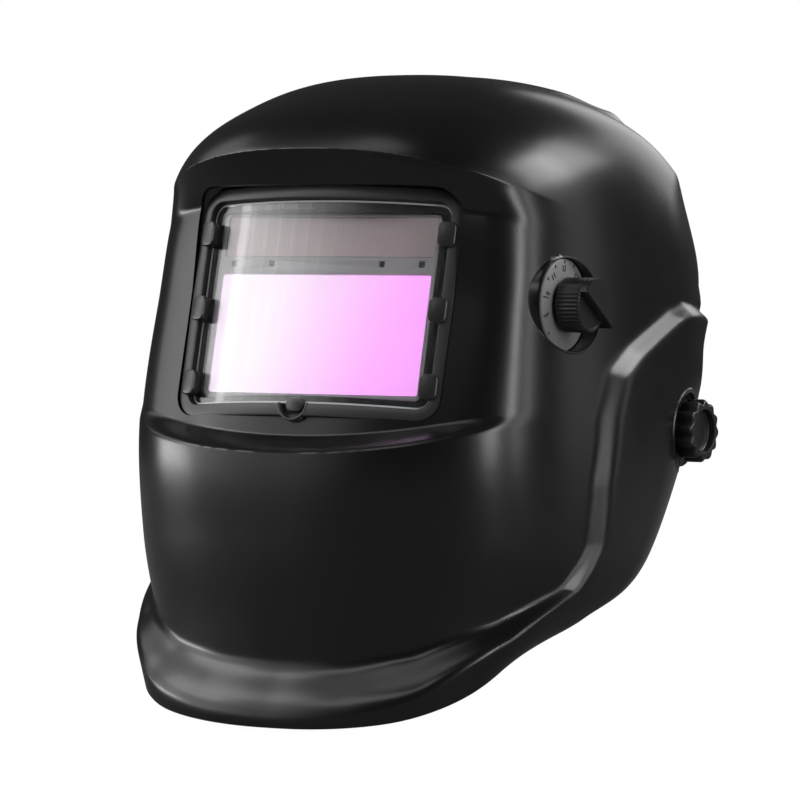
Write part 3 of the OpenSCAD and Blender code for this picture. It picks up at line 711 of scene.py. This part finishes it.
for a in np.radians(np.linspace(178, 362, 40)):
    mid = Vector((.0072 * math.cos(a), -.0002, NOTCH_Z + .0072 * math.sin(a)))
    loops.append([WINDOW @ (mid + Vector((.0007 * math.cos(b) * math.cos(a), .0009 * math.sin(b),
                                          .0007 * math.cos(b) * math.sin(a)))) for b in turn(12)])
pinned(rings("lens_frame_notch_lip", loops, charcoal, 60), "hood", "lens_frame", False)

pane = outline(.1240, .0920, .0062)
pinned(plate("cover_lens_pane", pane, .0030, .0042, .0005, glass("clear_cover", (.97, .975, .98), .04)),
       "hood", "cover_lens")
# pale ring round the cover lens's edge: a painted glint of light on the rim of the glass
edge = [(-.0010, .0026), (-.0003, .0026), (0, .0030), (-.0010, .0030)]
pinned(border("cover_lens_edge", pane, edge, lens_rim_glint), "hood", "cover_lens", False)
for cad, mat in (("lcd_filter", lcd_painted_glow()), ("solar_cell", solar_material()),
                 ("inner_cover_lens", glass("clear_inner", (.96, .97, .97), .02)),
                 ("arc_sensors", sensor_black), ("circuit_board", board_material())):
    paint(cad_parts[cad], mat)


# ------------------------------------------------------------------ tension knobs
def tension_knob(word, s):
    """Lobed hand knob about X with a rounded outer edge and a dished end."""
    lo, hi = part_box("tension_knob_" + word)
    x0, x1 = min(abs(lo.x), abs(hi.x)), max(abs(lo.x), abs(hi.x))
    big, dish = (hi.y - lo.y) / 2, .0098
    prof = [(x0, big - .0034, 0), (x0 + .0010, big - .0026, 0), (x0 + .0012, big - .0016, .3),
            (x0 + .0020, big - .0003, 1), (x0 + .0032, big, 1), (x1 - .0016, big, 1),
            (x1 - .0008, big - .0003, .95), (x1 - .0002, big - .0009, .8), (x1, big - .0017, .6),
            (x1, dish + .0006, 0), (x1 - .0003, dish, 0), (x1 - .0030, dish - .0005, 0),
            (x1 - .0035, dish - .0012, 0), (x1 - .0034, dish * .5, 0), (x1 - .0033, .0006, 0)]
    loops = [[around(PIVOT, s * x, r - .0021 * amt * (1 - abs(math.cos(6 * (t + .1))) ** 1.6), t)
              for t in turn(192)] for x, r, amt in prof]
    return rings("tension_knob_%s_body" % word, loops, black, 40)


for s, word in ((1, "left"), (-1, "right")):
    pinned(tension_knob(word, s), word + "_tension", "tension_knob_" + word)


# ------------------------------------------------------------------ shade knob
KNOB_R = .01225
POINTER = math.radians(-37)           # the pointer's way round, from +Y towards +Z


def ribbed(t):
    """Ribs on the side that looks forward and down, a smooth back."""
    d = (t - math.radians(188) + math.pi) % (2 * math.pi) - math.pi
    if abs(d) > math.radians(58):
        return 0.0
    return .00062 * (.5 + .5 * math.cos(2 * math.pi * d / math.radians(8.6))) ** .7


def shade_body():
    lo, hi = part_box("shade_knob")
    x0, x_end, x_top, R = lo.x, lo.x + .0122, hi.x - .0002, KNOB_R
    prof = [(x0, R - .0012, 0), (x0 + .0004, R - .0004, 0), (x0 + .0009, R, .2), (x0 + .0016, R, 1),
            (x_end - .0012, R, 1), (x_end - .0006, R - .0001, .4), (x_end, R - .0006, 0), (x_end, R - .0016, 0),
            (x_end - .0005, R - .0022, 0), (x_end - .0006, .0006, 0)]
    body = rings("shade_knob_body", [[around(DIAL, x, r + amt * (ribbed(t) - .0002), t) for t in turn(240)]
                                     for x, r, amt in prof], black)
    # raised half on the pointer's far side, ending in a straight edge and a pointed tip
    rim, tip = R - .0004, .0170
    arc = [POINTER + math.pi * k / 40 for k in range(6, 41)]
    d = (math.cos(POINTER), math.sin(POINTER))
    nrm = (-d[1], d[0])
    pts = [(d[0] * tip - nrm[0] * .0002, d[1] * tip - nrm[1] * .0002),
           (d[0] * (R + .0012) + nrm[0] * .0030, d[1] * (R + .0012) + nrm[1] * .0030)]
    pts += [(math.cos(a) * rim, math.sin(a) * rim) for a in arc]
    pts += [(-d[0] * rim - nrm[0] * .0014, -d[1] * rim - nrm[1] * .0014)]
    my, mz = (sum(p[i] for p in pts) / len(pts) for i in (0, 1))
    loops = [[(x, DIAL[1] + my + (y - my) * k, DIAL[2] + mz + (z - mz) * k) for y, z in pts]
             for x, k in ((x_end - .004, 1), (x_top - .0016, 1), (x_top - .0005, .985), (x_top, .94),
                          (x_top + .0001, .6), (x_top + .0002, .1))]
    cut(body, rings("raised_half", loops, None, 30), "UNION")
    paint(body, black)
    return body


pinned(shade_body(), "shade", "shade_knob")


# ------------------------------------------------------------------ the shade knob's scale
# ring with a chamfer, ticks and generic digits
lo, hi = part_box("dial_plate")
RING_X0, RING_X1 = lo.x, hi.x
prof = [(RING_X0, .0196), (RING_X0, .0200), (RING_X1 - .0009, .0203), (RING_X1 - .0003, .0201),
        (RING_X1, .0196), (RING_X1, .0100), (RING_X1 - .0004, .0096), (RING_X0 + .0002, .0094)]
pinned(rings("dial_scale_ring", [[around(DIAL, x, r, t) for t in turn(128)] for x, r in prof], dial_grey,
             closed=True), "hood", "dial_plate")

# strokes of each digit, across and up in shares of its box
STROKES = {"0": [[(.25, .1), (.2, .5), (.25, .9), (.6, 1), (.8, .85), (.8, .15), (.6, 0), (.25, .1)]],
           "1": [[(.35, .8), (.5, 1), (.5, 0)]],
           "2": [[(.2, .85), (.5, 1), (.78, .8), (.2, 0), (.8, 0)]],
           "3": [[(.2, 1), (.75, .95), (.75, .6), (.4, .52), (.78, .45), (.75, .05), (.2, 0)]],
           "9": [[(.75, .55), (.3, .55), (.25, .95), (.75, 1), (.78, .5), (.6, 0)]]}
DIGIT_H, DIGIT_W, DIGIT_R = .0026, .0026 * .72, .0160


def mark(points, width):
    """Printed stroke on the dial: a low ribbon along points given as (y, z) about the dial's middle."""
    loops = []
    for i, (y, z) in enumerate(points):
        a, b = points[max(0, i - 1)], points[min(len(points) - 1, i + 1)]
        ty, tz = b[0] - a[0], b[1] - a[1]
        l = math.hypot(ty, tz) or 1
        ny, nz = -tz / l * width / 2, ty / l * width / 2
        loops.append([(RING_X1 + lift, DIAL[1] + y + side * ny, DIAL[2] + z + side * nz)
                      for lift, side in ((-.0002, -1), (.00025, -1), (.00025, 1), (-.0002, 1))])
    return rings("mark", loops, None, 30)


def printed(word, angle):
    """Digits laid tangent to the ring, their feet towards the middle, to be read from outside."""
    c, s = math.cos(angle), math.sin(angle)
    made = []
    for i, digit in enumerate(word):
        off = (i - (len(word) - 1) / 2) * DIGIT_W
        for stroke in STROKES[digit]:
            pts = []
            for sx, sz in stroke:
                tx, r = off + (sx - .5) * DIGIT_W * .8, DIGIT_R + (sz - .5) * DIGIT_H
                pts.append((c * r + s * tx, s * r - c * tx))
            made.append(mark(pts, .00034))
    return made


strokes = []
for i in range(11):
    a = math.radians(-40 + i * 26)
    strokes.append(mark([(math.cos(a) * r, math.sin(a) * r) for r in (.0181, .0196)], .0006))
for word, deg in (("9", 194), ("10", 164), ("11", 128), ("12", 92), ("13", 50)):
    strokes += printed(word, math.radians(deg))
bm = bmesh.new()
for o in strokes:
    bm.from_mesh(o.data)
    bpy.data.objects.remove(o)
marks = in_scene("dial_marks", bpy.data.meshes.new("dial_marks"))
bm.to_mesh(marks.data)
bm.free()
paint(marks, ink)
pinned(marks, "hood", "dial_plate", False)


# ------------------------------------------------------------------ control lead and small dials
def lead_body():
    """Round lead on a smooth curve through the CAD's own points."""
    route = [(82, -88.6, 43.5), (82.4, -90, 38), (83.8, -96, 32.4), (84.3, -100.5, 32), (82.6, -105, 31.8),
             (78, -111, 32), (72, -115, 34), (65.3, -118, 35)]
    P = [Vector(p) * MM for p in route]
    pts = []
    for i in range(len(P) - 1):
        p0, p1, p2, p3 = P[max(i - 1, 0)], P[i], P[i + 1], P[min(i + 2, len(P) - 1)]
        for k in range(6):
            t = k / 6
            pts.append(.5 * (2 * p1 + (p2 - p0) * t + (2 * p0 - 5 * p1 + 4 * p2 - p3) * t * t
                             + (3 * p1 - p0 - 3 * p2 + p3) * t ** 3))
    pts.append(P[-1])
    loops = []
    for i, p in enumerate(pts):
        t = (pts[min(i + 1, len(pts) - 1)] - pts[max(i - 1, 0)]).normalized()
        n = t.cross(Vector((.3, 0, 1))).normalized()
        q = t.cross(n)
        loops.append([p + .00152 * (math.cos(a) * n + math.sin(a) * q) for a in turn(20)])
    return rings("control_lead_body", loops, lead_rubber)


def small_dial(word, x):
    """Knurled dial on the cartridge's back with a grip bar across it."""
    up = .035
    prof = [(.0255, .0023, 0), (.0290, .0023, 0), (.0290, .0060, 0), (.0292, .0064, .2), (.0298, .0068, 1),
            (.0334, .0068, 1), (.0341, .0066, .6), (.0344, .0060, 0), (.0344, .0048, 0), (.0341, .0044, 0),
            (.0341, .0006, 0)]
    loops = []
    for y, r, amt in prof:
        radii = [(r - amt * .00025 * (1 + math.cos(30 * t)), t) for t in turn(240)]
        loops.append([WINDOW @ Vector((x + k * math.cos(t), y, up + k * math.sin(t))) for k, t in radii])
    pinned(rings(word + "_dial_body", loops, black), word, word + "_dial")
    bar = [[WINDOW @ Vector((x + px * k, y, up + pz * k)) for px, pz in rounded_outline(.0022, .0110, .001, 6)]
           for y, k in ((.0336, 1), (.0349, 1), (.0353, .75))]
    pinned(rings(word + "_dial_grip", bar, nylon), word, word + "_dial", False)


pinned(lead_body(), "hood", "control_lead")
small_dial("sensitivity", -.028)
small_dial("delay", .028)


# ------------------------------------------------------------------ CAD shapes with rounded edges
for cad, width, body, segs, mat in (
        ("cartridge_housing", .0004, "hood", 2, case_grey), ("battery_cells", .0005, "hood", 3, cell_steel),
        ("cartridge_retainer", .0006, "hood", 3, gear_black), ("pot_body", .0005, "hood", 3, tin),
        ("pot_nut", .0003, "hood", 2, zinc), ("pot_shaft", .0004, "shade", 2, zinc),
        ("lead_clip", .0005, "hood", 2, nylon), ("spring_washers", .0002, "headgear", 2, spring_steel),
        ("pivot_washers", .0003, "hood", 2, nylon), ("head_band", .0006, "headgear", 3, gear_black),
        ("crown_peg", .0006, "headgear", 3, gear_black), ("ratchet_housing", .0012, "headgear", 4, gear_black),
        ("ratchet_cover", .0012, "headgear", 4, gear_black), ("tail_left", .0003, "left_tail", 2, tail_black),
        ("tail_right", .0003, "right_tail", 2, tail_black), ("pinion", .0003, "ratchet", 2, acetal)):
    bevelled(cad, width, body, segs, mat)
for word in ("left", "right"):
    bevelled("pivot_bush_" + word, .0004, "hood", 2, nylon)
    bevelled("pivot_bolt_" + word, .0005, "headgear", 3, zinc)
    bevelled("tilt_stop_" + word, .0007, "headgear", 3, gear_black)
    bevelled("knob_insert_" + word, .0003, word + "_tension", 2, brass)


# ------------------------------------------------------------------ crown straps and ratchet knob
def drilled(ob, places, r, low, high):
    """Upright adjusting holes with a small countersink, through a strap's flat top."""
    for x, y in places:
        cut(ob, rings("hole", [[(x + rr * math.cos(t), y + rr * math.sin(t), z) for t in turn(32)]
                               for z, rr in ((low, r), (high - .0006, r), (high, r + .0006),
                                             (high + .004, r + .0006))]))


for word, s in (("left", 1), ("right", -1)):
    strap = bevelled("crown_strap_" + word, .0005, "headgear", 3, tail_black)
    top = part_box("crown_strap_" + word)[1].z
    drilled(strap, [(s * x * MM, .009) for x in (9, 18, 27)], .0024, top - .0035, top)
    paint(strap, tail_black)

lo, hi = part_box("ratchet_knob")
cx, cz, big = (lo.x + hi.x) / 2, (lo.z + hi.z) / 2, (hi.z - lo.z) / 2
prof = [(0, big - .0028, 0), (.0006, big - .0014, .4), (.0016, big - .0004, 1), (.0028, big, 1),
        (.0112, big, 1), (.0128, big - .0006, .9), (.0137, big - .0020, .6), (.0140, big - .0040, .2),
        (.0140, .0136, 0), (.0137, .0131, 0), (.0121, .0127, 0), (.0113, .0118, 0), (.0112, .0060, 0),
        (.0120, .0052, 0), (.0126, .0030, 0), (.0127, .0006, 0)]
loops = []
for y, r, amt in prof:
    radii = [(r - amt * .0016 * (1 - abs(math.cos(6 * t)) ** 1.2), t) for t in turn(240)]
    loops.append([(cx + k * math.cos(t), lo.y + y, cz + k * math.sin(t)) for k, t in radii])
pinned(rings("ratchet_knob_body", loops, black), "ratchet", "ratchet_knob")


# ------------------------------------------------------------------ soft pieces
PAD_VOXEL, PAD_RISE = .0022, .0022    # remesh size, and how far the cloth may move a point


def coordinates(mesh, what="co"):
    a = np.empty(len(mesh.vertices) * 3)
    mesh.vertices.foreach_get(what, a)
    return a.reshape(-1, 3)


def place(ob, points):
    ob.data.vertices.foreach_set("co", points.reshape(-1))
    ob.data.update()


def swell(ob, keep_in):
    """Blow the pad up from inside as cloth, holding each point within PAD_RISE of its place and in keep_in."""
    mod = ob.modifiers.new("even", "REMESH")
    mod.mode, mod.voxel_size = "VOXEL", PAD_VOXEL
    bake_modifiers(ob)
    rest = coordinates(ob.data)
    now = rest.copy()
    mod = ob.modifiers.new("swell", "CLOTH")
    cloth = mod.settings
    cloth.use_pressure = True
    cloth.uniform_pressure_force = 4
    cloth.effector_weights.gravity = 0
    cloth.quality = 4
    cloth.mass = .25
    cloth.tension_stiffness = 12
    cloth.bending_stiffness = .4
    mod.point_cache.frame_start, mod.point_cache.frame_end = 1, 20
    for f in range(1, 21):
        bpy.context.scene.frame_set(f)
    swollen = ob.evaluated_get(bpy.context.evaluated_depsgraph_get())
    move = coordinates(swollen.to_mesh()) - rest
    swollen.to_mesh_clear()
    ob.modifiers.clear()
    bpy.context.scene.frame_set(1)
    far = np.linalg.norm(move, axis=1, keepdims=True)
    now = rest + move * np.minimum(1, PAD_RISE / np.maximum(far, 1e-9))
    place(ob, keep_in(now))
    mod = ob.modifiers.new("finer", "SUBSURF")
    mod.levels = mod.render_levels = 1
    bake_modifiers(ob, 180)


def pad(ob, keep_in, seams, cad):
    """Swell the pad, press its sewn channels in to the depth that seams gives, and cover it."""
    swell(ob, keep_in)
    co = coordinates(ob.data)
    co -= coordinates(ob.data, "normal") * seams(co)[:, None]
    place(ob, keep_in(co))
    paint(ob, pad_cloth)
    pinned(ob, "headgear", cad)


def in_band(p):
    """Keep the sweatband inside its CAD solid: radius, ends and height."""
    r = np.clip(np.hypot(p[:, 0], p[:, 1]), .0802, .0857)
    t = np.clip(np.arctan2(p[:, 1], p[:, 0]), math.radians(205.1 - 360), math.radians(334.9 - 360))
    return np.stack([r * np.cos(t), r * np.sin(t), np.clip(p[:, 2], .0361, .0699)], 1)


def band_seams(co):
    """Upright channels every 13 degrees and a line along each edge, on the side next to the skin."""
    ang = np.degrees(np.arctan2(co[:, 1], co[:, 0])) + 90
    seam = np.zeros(len(co))
    for a in range(-52, 53, 13):
        seam = np.maximum(seam, np.exp(-((ang - a) * math.pi / 180 * .083 / .0011) ** 2))
    for z in (.0402, .0658):
        seam = np.maximum(seam, .8 * np.exp(-((co[:, 2] - z) / .0009) ** 2))
    return seam * .0011 * (np.hypot(co[:, 0], co[:, 1]) < .0832)


sect = [(.0807, .0392), (.0807, .0668), (.0813, .0680), (.0829, .0686), (.0845, .0680), (.0851, .0668),
        (.0851, .0392), (.0845, .0380), (.0829, .0374), (.0813, .0380)]
band = rings("sweatband_pad", [[(r * math.cos(t), r * math.sin(t), z) for r, z in sect]
                               for t in np.radians(np.linspace(206.2, 333.8, 110))])
pad(band, in_band, band_seams, "sweatband")

lo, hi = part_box("rear_pad")
mx, mz = (lo.x + hi.x) / 2, (lo.z + hi.z) / 2


def in_rear(p):
    """Keep the rear pad 0.1 mm inside its CAD box."""
    return np.stack([np.clip(p[:, i], lo[i] + .0001, hi[i] - .0001) for i in range(3)], 1)


def rear_seams(co):
    """A line just inside the edge and two upright channels, on the side next to the head."""
    corner = .007
    qx = np.abs(co[:, 0] - mx) - ((hi.x - lo.x) / 2 - .0048 - corner)
    qz = np.abs(co[:, 2] - mz) - ((hi.z - lo.z) / 2 - .0048 - corner)
    edge = np.hypot(np.maximum(qx, 0), np.maximum(qz, 0)) + np.minimum(np.maximum(qx, qz), 0) - corner
    seam = np.exp(-(edge / .0009) ** 2)
    for x in (-.010, .010):
        seam = np.maximum(seam, np.exp(-((co[:, 0] - mx - x) / .0010) ** 2) * (edge < 0))
    return seam * .0012 * (co[:, 1] < (lo.y + hi.y) / 2)


loops = []
for y, k in ((lo.y + .0010, .0022), (lo.y + .0014, .0012), (lo.y + .0030, .0006), (hi.y - .0020, .0006),
             (hi.y - .0006, .0014), (hi.y - .0004, .0024)):
    loops.append([(mx + px, y, mz + pz) for px, pz in
                  rounded_outline(hi.x - lo.x - .0016 - k * 2, hi.z - lo.z - .0016 - k * 2, .0095)])
pad(rings("rear_pad_body", loops), in_rear, rear_seams, "rear_pad")


# ------------------------------------------------------------------ floor, world and light
def lay_floor():
    """Pale disc just under the object, near white to the camera and dull to everything else."""
    low = cad_box[0].z - 0.003
    me = bpy.data.meshes.new("floor")
    me.from_pydata([(7 * math.cos(a), 7 * math.sin(a), low) for a in turn(64)], [], [tuple(range(64))])
    m = bpy.data.materials.new("floor_paper")
    nt, b = nodes_of(m)
    b.inputs["Base Color"].default_value = (.22, .22, .22, 1)
    b.inputs["Roughness"].default_value = .95
    b.inputs["Specular IOR Level"].default_value = 0.0
    lit = node(nt, "ShaderNodeEmission", Color=(1, 1, 1, 1), Strength=1.1)
    seen = node(nt, "ShaderNodeLightPath")
    share = sums(nt, seen.outputs["Is Camera Ray"], .90, "MULTIPLY")
    mix = node(nt, "ShaderNodeMixShader")
    for source, socket in zip((share, b, lit), mix.inputs):
        nt.links.new(source.outputs[0], socket)
    nt.links.new(mix.outputs[0], nt.nodes["Material Output"].inputs["Surface"])
    me.materials.append(m)
    in_scene("floor", me)


def lay_world():
    """White where the camera sees it, very dim as a light."""
    world = bpy.data.worlds.new("studio")
    bpy.context.scene.world = world
    world.use_nodes = True
    nt = world.node_tree
    seen = nt.nodes["Background"]
    seen.inputs["Color"].default_value = (1, 1, 1, 1)
    seen.inputs["Strength"].default_value = 1.0
    dim = node(nt, "ShaderNodeBackground", Color=(1, 1, 1, 1), Strength=0.05)
    mix = node(nt, "ShaderNodeMixShader")
    nt.links.new(node(nt, "ShaderNodeLightPath").outputs["Is Camera Ray"], mix.inputs[0])
    nt.links.new(dim.outputs[0], mix.inputs[1])
    nt.links.new(seen.outputs[0], mix.inputs[2])
    nt.links.new(mix.outputs[0], nt.nodes["World Output"].inputs["Surface"])


def softbox(name, az, el, dist, w, h, level):
    """Soft light at an azimuth from -Y towards +X and an elevation; level is its brightness."""
    a, e = math.radians(az), math.radians(el)
    way = Vector((math.sin(a) * math.cos(e), -math.cos(a) * math.cos(e), math.sin(e)))
    light = bpy.data.lights.new(name, "AREA")
    light.shape = "RECTANGLE"
    light.size, light.size_y = w, h
    light.energy = level * math.pi * w * h
    ob = in_scene(name, light)
    ob.location = way * dist + Vector((0, -.03, .02))
    ob.visible_camera = False
    ob.rotation_mode = "QUATERNION"
    ob.rotation_quaternion = (-way).to_track_quat("-Z", "Y")


lay_floor()
lay_world()
softbox("corner_strip", 70, 8, 2.2, .26, 2.4, 11.0)
softbox("right_strip", 88, 8, 2.2, .24, 2.4, 4.6)
softbox("left_rim", -70, 6, 2.2, .8, 1.6, 2.1)
for i, level in enumerate((2.7, 2.6, 2.3, 1.9, 1.5, 1.1, .75, .45, .2)):
    softbox("left_front_%d" % (i + 1), -60 + 5 * i, 10, 2.2, .195, 1.7, level)
softbox("right_back", 125, 6, 2.2, .8, 1.6, .65)
softbox("left_side_high", -90, 38, 2.2, .9, .8, 1.2)
softbox("left_high", -60, 38, 2.2, .9, .8, 4.7)
softbox("right_high", 120, 38, 2.2, .9, .8, 6.4)
softbox("back_high", 140, 38, 2.2, .9, .8, 4.2)
softbox("front_top", -40, 66, 2.2, .8, .8, 1.4)
softbox("front_mid", -14, 42, 2.2, 1.5, .5, 2.3)
softbox("low_left", -70, -1.5, 2.0, .9, .20, 9.8)
softbox("rear_fill", 182, 22, 2.4, 1.4, 1.0, 1.5)
bpy.context.scene.view_settings.view_transform = "Standard"
bpy.context.scene.view_settings.look = "None"
